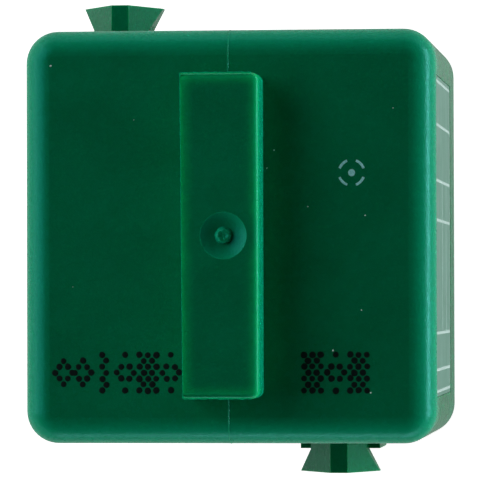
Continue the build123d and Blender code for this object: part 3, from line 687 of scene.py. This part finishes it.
def make_specks():
    """Small chips and dust stuck to the face."""
    shapes = []
    for x, y, size, heading in SPECKS:
        turn = math.radians(heading)
        points = [Vector((x * MM + share * size * MM * math.cos(turn),
                          y * MM + share * size * MM * math.sin(turn), FACE)) for share, _ in SPECK_SECTIONS]
        shapes.append(sweep(points, lambda i: circle(size * 0.85 * MM * SPECK_SECTIONS[i][1], 6, 0.015 * MM)))
    vertices, faces = join_shapes(shapes)
    add_piece("dust_specks", vertices, faces, dust, "cover")


LABEL_COLUMNS = (7.6, 3.8, 1.1, -6.6, -9.1)     # y of the upright rules, in mm
LABEL_ROWS = (4.6, 9.2)                         # cross rules, in mm above the lower border


def rule_section(i, y, z):
    """A rule's flat section at its ring i: a little wider here and narrower there."""
    uneven = 1 + 0.15 * noise.noise(Vector((i * 0.9, y * 900, z * 900)))
    return [(width * uneven, height) for width, height in circle(0.10 * MM, 6, 0.010 * MM)]


def make_label_rules():
    """Pale rules printed on the film: a border and lines that divide it."""
    x = label_hi.x + 0.004 * MM
    margin = 0.35 * MM
    y0, y1 = label_lo.y + margin, label_hi.y - margin
    z0, z1 = label_lo.z + margin, label_hi.z - margin
    runs = [((y0, z0), (y1, z0)), ((y0, z1), (y1, z1)), ((y0, z0), (y0, z1)), ((y1, z0), (y1, z1))]
    runs += [((y * MM, z0), (y * MM, z1)) for y in LABEL_COLUMNS]
    left, right = LABEL_COLUMNS[1] * MM, LABEL_COLUMNS[3] * MM
    runs += [((left, z0 + height * MM), (right, z0 + height * MM)) for height in LABEL_ROWS]
    shapes = []
    for (ya, za), (yb, zb) in runs:
        a, b = Vector((x, ya, za)), Vector((x, yb, zb))
        count = max(4, int((b - a).length / (0.4 * MM)))
        points = [a.lerp(b, i / count) for i in range(count + 1)]
        shapes.append(sweep(points, lambda i: rule_section(i, ya, za), up=(1, 0, 0)))
    vertices, faces = join_shapes(shapes)
    add_piece("label_rules", vertices, faces, label_ink, "cover", 60)


make_bar_flash()
make_gate_scar()
make_dimple_rim()
make_parting_line()
make_code("code_left", CODE_LEFT)
make_code("code_right", CODE_RIGHT)
make_pale_mark()
make_specks()
make_label_rules()


# ======== Coil ========

winding_lo, winding_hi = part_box("coil_winding")
COIL_CENTRE = Vector((0, (winding_lo.y + winding_hi.y) / 2, 0))
COIL_RADIUS = winding_hi.x
COIL_WIRE = 0.19 * MM
COIL_BORE = 3.68 * MM
COIL_SWAY = 0.015 * MM


def make_winding():
    """The top layer of the winding as one long helix, over a ring that holds the layers below."""
    turns = int((winding_hi.z - winding_lo.z) / COIL_WIRE)
    pitch = (winding_hi.z - winding_lo.z) / turns
    radius = COIL_RADIUS - COIL_WIRE / 2
    steps = 60
    points = []
    for i in range((turns - 1) * steps + 1):
        turn = 2 * math.pi * i / steps
        sway = COIL_SWAY * noise.noise(Vector((math.cos(turn), math.sin(turn), i / steps * 0.5)))
        reach = radius + sway - COIL_SWAY
        points.append(COIL_CENTRE + Vector((reach * math.cos(turn), reach * math.sin(turn),
                                            winding_lo.z + pitch * (0.5 + i / steps) + sway)))
    vertices, faces = wire(points, COIL_WIRE / 2, 6)
    turns_piece = add_piece("winding_turns", vertices, faces, enamel_wire, "base")
    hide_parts("coil_winding")
    inner, outer = COIL_BORE, radius
    profile = [(inner, winding_lo.z), (outer, winding_lo.z)]
    for i in range(turns):
        profile += [(outer - 0.02 * MM, winding_lo.z + pitch * (i + 0.25)),
                    (outer, winding_lo.z + pitch * (i + 1))]
    profile.append((inner, winding_hi.z))
    vertices, faces = lathe(profile, COIL_CENTRE, 48, closed=True)
    add_piece("winding_layers", vertices, faces, enamel_wire, "base")


PRONG_WIDTH = 1.25 * MM
PRONG_STRIP = 0.8 * MM
WRAP_LEVEL = 17.1 * MM
WRAP_TURNS = 5
WRAP_STEPS = 24


def make_lead_wraps():
    """The winding's two ends: out to the prong, five turns round it and a short tail."""
    shapes = []
    joints = []
    for side, node in ((-1, "coil_terminal_left"), (1, "coil_terminal_right")):
        lo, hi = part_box(node)
        prong = Vector(((lo.x + hi.x) / 2, lo.y + PRONG_WIDTH / 2, 0))
        gap = COIL_WIRE / 2 + 0.02 * MM
        a, b = PRONG_STRIP / 2 + gap, PRONG_WIDTH / 2 + gap
        start = Vector((side * 5.70 * MM, prong.y + 0.1 * MM, WRAP_LEVEL + 0.35 * MM))
        slack = start.lerp(prong + Vector((0, -b, WRAP_LEVEL)), 0.45) + Vector((0, -0.15, 0.25)) * MM
        path = smooth_path([start, slack, prong + Vector((-side * a, -b * 0.9, WRAP_LEVEL))])
        for i in range(WRAP_TURNS * WRAP_STEPS):
            turn = 2 * math.pi * i / WRAP_STEPS
            c, s = math.cos(turn), math.sin(turn)
            square = (abs(c) ** 4 + abs(s) ** 4) ** -0.25
            climb = COIL_WIRE * 1.05 * i / WRAP_STEPS
            path.append(prong + Vector((-side * a * s * square, -b * c * square, WRAP_LEVEL + climb)))
        path.append(path[-1] + Vector((side * 0.25, -0.18, 0.10)) * MM)
        shapes.append(wire(path, COIL_WIRE / 2, 7))
        joints.append(blob(prong + Vector((-side * 0.28 * MM, 0, WRAP_LEVEL + 1.12 * MM)),
                           (0.42 * MM, 0.66 * MM, 0.30 * MM), 1.7, 0.16, side + 4))
    vertices, faces = join_shapes(shapes)
    leads = add_piece("lead_wraps", vertices, faces, enamel_wire, "base")
    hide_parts("coil_lead_wires")
    vertices, faces = join_shapes(joints)
    add_piece("lead_solder", vertices, faces, solder, "base")


make_winding()
make_lead_wraps()


# ======== Return spring and shunt braid, which the armature bends in the real relay ===

spring_lo, spring_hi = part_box("return_spring")
SPRING_WIRE = 0.35 * MM
SPRING_COIL_BOTTOM = 19.7 * MM
SPRING_COIL_TOP = 26.9 * MM


def make_return_spring():
    """A close-wound tension spring with a hook at each end."""
    outer = (spring_hi.x - spring_lo.x) / 2
    axis = Vector(((spring_lo.x + spring_hi.x) / 2, spring_lo.y + outer, 0))
    radius = outer - SPRING_WIRE / 2
    turns = int((SPRING_COIL_TOP - SPRING_COIL_BOTTOM) / (SPRING_WIRE * 1.04))
    steps = 28
    pitch = (SPRING_COIL_TOP - SPRING_COIL_BOTTOM) / turns
    hook_y = axis.y - 0.2 * MM
    tip_y = spring_hi.y
    low = spring_lo.z + SPRING_WIRE / 2
    high = spring_hi.z - SPRING_WIRE / 2 - 0.12 * MM
    lower = smooth_path([(axis.x, tip_y, low), (axis.x, tip_y - 0.45 * MM, low), (axis.x, hook_y, low),
                         (axis.x, hook_y, low + 0.6 * MM), (axis.x, hook_y, SPRING_COIL_BOTTOM - 0.75 * MM),
                         (axis.x, axis.y - radius * 0.55, SPRING_COIL_BOTTOM - 0.40 * MM),
                         (axis.x + radius * 0.8, axis.y - radius * 0.75, SPRING_COIL_BOTTOM - 0.10 * MM),
                         (axis.x + radius, axis.y - radius * 0.25, SPRING_COIL_BOTTOM)])
    coil = []
    for i in range(turns * steps + 1):
        turn = 2 * math.pi * i / steps
        coil.append(axis + Vector((radius * math.cos(turn), radius * math.sin(turn),
                                   SPRING_COIL_BOTTOM + pitch * i / steps)))
    upper = smooth_path([(axis.x + radius * 0.8, axis.y + radius * 0.65, SPRING_COIL_TOP + 0.10 * MM),
                         (axis.x, axis.y + radius * 0.35, SPRING_COIL_TOP + 0.40 * MM),
                         (axis.x, hook_y, SPRING_COIL_TOP + 0.80 * MM), (axis.x, hook_y, high - 0.6 * MM),
                         (axis.x, hook_y, high), (axis.x, tip_y - 0.45 * MM, high), (axis.x, tip_y, high)])
    vertices, faces = wire(lower + coil + upper, SPRING_WIRE / 2, 10)
    spring = add_piece("spring_coil", vertices, faces, spring_steel, None)
    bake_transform(spring)
    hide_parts("return_spring")


braid_lo, braid_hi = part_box("shunt_braid")
BRAID_HALF_WIDTH = (braid_hi.x - braid_lo.x) / 2
BRAID_HALF_THICK = 0.4 * MM
BRAID_BEND = 1.8 * MM
STRAND = 0.13 * MM
STRANDS = 9
STRAND_PITCH = 5.2 * MM


def braid_path():
    """The braid's middle line with the outward direction at each point: up, over and forward."""
    x = (braid_lo.x + braid_hi.x) / 2
    back = braid_lo.y + BRAID_HALF_THICK
    top = braid_hi.z - BRAID_HALF_THICK
    points = [Vector((x, back, braid_lo.z)), Vector((x, back, top - BRAID_BEND))]
    for step in range(1, 18):
        turn = math.radians(step * 5)
        points.append(Vector((x, back + BRAID_BEND * (1 - math.cos(turn)),
                              top - BRAID_BEND * (1 - math.sin(turn)))))
    points += [Vector((x, back + BRAID_BEND, top)), Vector((x, braid_hi.y, top))]
    return spaced(points, 160)


def make_shunt_braid():
    """A flat braid: strands that run both ways round a flattened tube and pass over and under each other."""
    path = braid_path()
    length = sum((b - a).length for a, b in zip(path, path[1:]))
    across = Vector((1, 0, 0))
    last = len(path) - 1
    shapes = []
    half_width = BRAID_HALF_WIDTH - STRAND
    half_thick = BRAID_HALF_THICK - STRAND * 1.6
    for way in (-1, 1):
        for k in range(STRANDS):
            points = []
            for i, point in enumerate(path):
                along = (path[min(i + 1, last)] - path[max(i - 1, 0)]).normalized()
                outward = across.cross(along)
                twist = length * i / last / STRAND_PITCH
                turn = 2 * math.pi * (k / STRANDS + way * twist)
                c, s = math.cos(turn), math.sin(turn)
                ends = min(1.0, min(i, last - i) / 14)
                over = way * STRAND * 0.55 * math.cos(STRANDS * 2 * math.pi * twist)
                flat = half_thick * (0.45 + 0.55 * ends) * math.copysign(abs(s) ** 0.45, s)
                spread = half_width * (2 / math.pi) * math.asin(c)
                points.append(point + across * spread + outward * (flat + over * ends))
            shapes.append(wire(points, STRAND, 6))
    a, b = 0.80 * BRAID_HALF_WIDTH, 0.30 * BRAID_HALF_THICK
    core = [(-a, -b), (a, -b), (a, b), (-a, b)]
    shapes.append(sweep(path, lambda i: core, up=(0, 1, 0)))
    vertices, faces = join_shapes(shapes)
    braid = add_piece("braid_strands", vertices, faces, copper_braid, None)
    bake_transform(braid)
    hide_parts("shunt_braid")


PAD_PROFILE = ((0.55, -1.0), (0.92, -0.8), (1.0, 0.0), (0.92, 0.8), (0.72, 1.0), (0.5, 0.72), (0.3, 0.66))


def pressed_pad(centre, half_x, half_y, half_z, axis, seed):
    """A flattened weld pad with soft edges, thin along the given axis."""
    rings = []
    for share, height in PAD_PROFILE:
        ring = []
        for k in range(28):
            turn = 2 * math.pi * k / 28
            c, s = math.cos(turn), math.sin(turn)
            square = (abs(c) ** 5 + abs(s) ** 5) ** -0.2
            push = 1 + 0.05 * noise.noise(Vector((c * 2, s * 2, seed)))
            a, b = c * square * share * push, s * square * share * push
            if axis == "Y":
                ring.append(centre + Vector((a * half_x, -height * half_y, b * half_z)))
            else:
                ring.append(centre + Vector((a * half_x, b * half_y, height * half_z)))
        rings.append(ring)
    return bridge_rings(rings)


def make_braid_welds():
    """Where the braid is resistance welded: low on the common terminal, and on the contact blade."""
    x = (braid_lo.x + braid_hi.x) / 2
    low = Vector((x, braid_lo.y + BRAID_HALF_THICK, braid_lo.z + 0.75 * MM))
    vertices, faces = pressed_pad(low, BRAID_HALF_WIDTH * 0.98, BRAID_HALF_THICK * 0.98, 0.72 * MM, "Y", 2)
    add_piece("braid_weld_lower", vertices, faces, copper_braid, "base")
    high = Vector((x, braid_hi.y - 0.75 * MM, braid_hi.z - BRAID_HALF_THICK))
    vertices, faces = pressed_pad(high, BRAID_HALF_WIDTH * 0.98, 0.72 * MM, BRAID_HALF_THICK * 0.98, "Z", 5)
    add_piece("braid_weld_upper", vertices, faces, copper_braid, "armature")


make_return_spring()
make_shunt_braid()
make_braid_welds()


# ======== Resistor ========

resistor_lo, resistor_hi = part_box("suppression_resistor")


def make_resistor():
    """The lacquered body with a fuller cap at each end."""
    half = resistor_hi.x
    full = (resistor_hi.z - resistor_lo.z) / 2
    waist = full * 0.86
    profile = [(0.30 * MM, -half)]
    for i in range(33):
        x = -half + 2 * half * i / 32
        from_end = min(i, 32 - i) / 32 * 2 * half
        round_off = math.sqrt(max(0.0, 1 - max(0.0, 1 - from_end / (0.5 * MM)) ** 2))
        belly = waist + (full - waist) / (1 + math.exp((from_end - 1.35 * MM) / (0.14 * MM)))
        profile.append((max(0.32 * MM, belly * (0.35 + 0.65 * round_off)), x))
    profile.append((0.30 * MM, half))
    centre = Vector((0, (resistor_lo.y + resistor_hi.y) / 2, (resistor_lo.z + resistor_hi.z) / 2))
    vertices, faces = lathe(profile, centre, 40, axis="X")
    body = add_piece("resistor_shell", vertices, faces, resistor_lacquer, "base")
    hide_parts("suppression_resistor")


def make_lead_joints():
    """Solder where the resistor's leads lie against the coil terminals' prongs."""
    lead_lo, lead_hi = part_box("resistor_leads")
    shapes = []
    for side, node in ((-1, "coil_terminal_left"), (1, "coil_terminal_right")):
        lo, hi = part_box(node)
        inner = hi.x if side < 0 else lo.x
        centre = Vector((inner - side * 0.22 * MM, hi.y - PRONG_WIDTH / 2, (lead_lo.z + lead_hi.z) / 2))
        shapes.append(blob(centre, (0.46 * MM, 0.62 * MM, 0.50 * MM), 1.8, 0.14, side + 9))
    vertices, faces = join_shapes(shapes)
    add_piece("resistor_solder", vertices, faces, solder, "base")


make_resistor()
make_lead_joints()


# ======== Stage, light and camera ========

FLOOR_WHITE = 0.90              # how brightly the floor shows itself
FLOOR_GLOW = 0.15               # how brightly it lights the object
FLOOR_HALF = 6.0


def make_floor():
    """A large floor at the blade tips: white to the camera, dim to the object, not seen from below."""
    paint = Paint("studio_floor")
    paint.finish(paint.mix(paint.grain(60 * MM, 3), (0.86, 0.86, 0.85), (0.89, 0.89, 0.88)), 0.9)
    paint.shader.inputs["Emission Color"].default_value = (1, 1, 1, 1)
    seen = paint.add("ShaderNodeLightPath").outputs["Is Camera Ray"]
    paint.feed(paint.shader.inputs["Emission Strength"], paint.span(seen, 0, 1, FLOOR_GLOW, FLOOR_WHITE))
    clear = paint.add("ShaderNodeBsdfTransparent").outputs[0]
    behind = paint.add("ShaderNodeNewGeometry").outputs["Backfacing"]
    out = paint.tree.nodes["Material Output"]
    both = paint.add("ShaderNodeMixShader", [(0, behind), (1, paint.shader.outputs[0]), (2, clear)])
    paint.feed(out.inputs["Surface"], both.outputs[0])
    corners = [(x * FLOOR_HALF, y * FLOOR_HALF, 0) for x, y in ((-1, -1), (1, -1), (1, 1), (-1, 1))]
    mesh = bpy.data.meshes.new("studio_floor")
    mesh.from_pydata(corners, [], [[0, 1, 2, 3]])
    mesh.materials.append(paint.material)
    floor = bpy.data.objects.new("studio_floor", mesh)
    scene.collection.objects.link(floor)


def make_sky(low=1.4, high=0.02, start=0.02, end=0.40):
    """A soft ring of light at the horizon that dies away overhead."""
    world = bpy.data.worlds.new("studio")
    world.use_nodes = True
    tree = world.node_tree
    where = tree.nodes.new("ShaderNodeTexCoord")
    parts = tree.nodes.new("ShaderNodeSeparateXYZ")
    fade = tree.nodes.new("ShaderNodeMapRange")
    fade.interpolation_type = "SMOOTHSTEP"
    for key, value in (("From Min", start), ("From Max", end), ("To Min", low), ("To Max", high)):
        fade.inputs[key].default_value = value
    tree.links.new(where.outputs["Generated"], parts.inputs[0])
    tree.links.new(parts.outputs["Z"], fade.inputs["Value"])
    tree.links.new(fade.outputs[0], tree.nodes["Background"].inputs["Strength"])
    tree.nodes["Background"].inputs["Color"].default_value = (1, 1, 1, 1)
    scene.world = world


def make_softbox(name, place, width, height, watts):
    """A rectangular soft light aimed at the object, left out of the camera's own view."""
    light = bpy.data.lights.new(name, "AREA")
    light.shape = "RECTANGLE"
    light.size = width
    light.size_y = height
    light.energy = watts
    box = bpy.data.objects.new(name, light)
    aim = Vector((0, 0, 20 * MM)) - Vector(place)
    box.location = place
    box.rotation_euler = aim.to_track_quat("-Z", "Y").to_euler()
    box.visible_camera = False
    scene.collection.objects.link(box)


def make_camera():
    """The photographer's camera."""
    data = bpy.data.cameras.new("camera")
    data.lens = CAMERA_LENS
    data.sensor_width = SENSOR
    data.clip_start = 1 * MM
    data.clip_end = 20
    camera = bpy.data.objects.new("camera", data)
    back = Vector((math.sin(CAMERA_YAW) * math.cos(CAMERA_PITCH), math.sin(CAMERA_PITCH),
                   math.cos(CAMERA_YAW) * math.cos(CAMERA_PITCH)))
    right = Vector((0, 1, 0)).cross(back).normalized()
    over = back.cross(right)
    turned = right * math.cos(CAMERA_ROLL) + over * math.sin(CAMERA_ROLL)
    raised = over * math.cos(CAMERA_ROLL) - right * math.sin(CAMERA_ROLL)
    camera.matrix_world = Matrix.Translation(CAMERA_TARGET + back * CAMERA_DISTANCE) @ Matrix(
        (turned, raised, back)).transposed().to_4x4()
    scene.collection.objects.link(camera)
    scene.camera = camera


scene.view_settings.view_transform = "Standard"
scene.view_settings.look = "None"
make_floor()
make_sky()
make_softbox("key_left", (-0.42, 0.14, 0.30), 0.55, 0.45, 1.52)
make_softbox("strip_right", (0.46, 0.06, 0.034), 0.42, 0.03, 1.45)
make_softbox("strip_front", (0.10, -0.46, 0.040), 0.40, 0.03, 0.40)
make_camera()
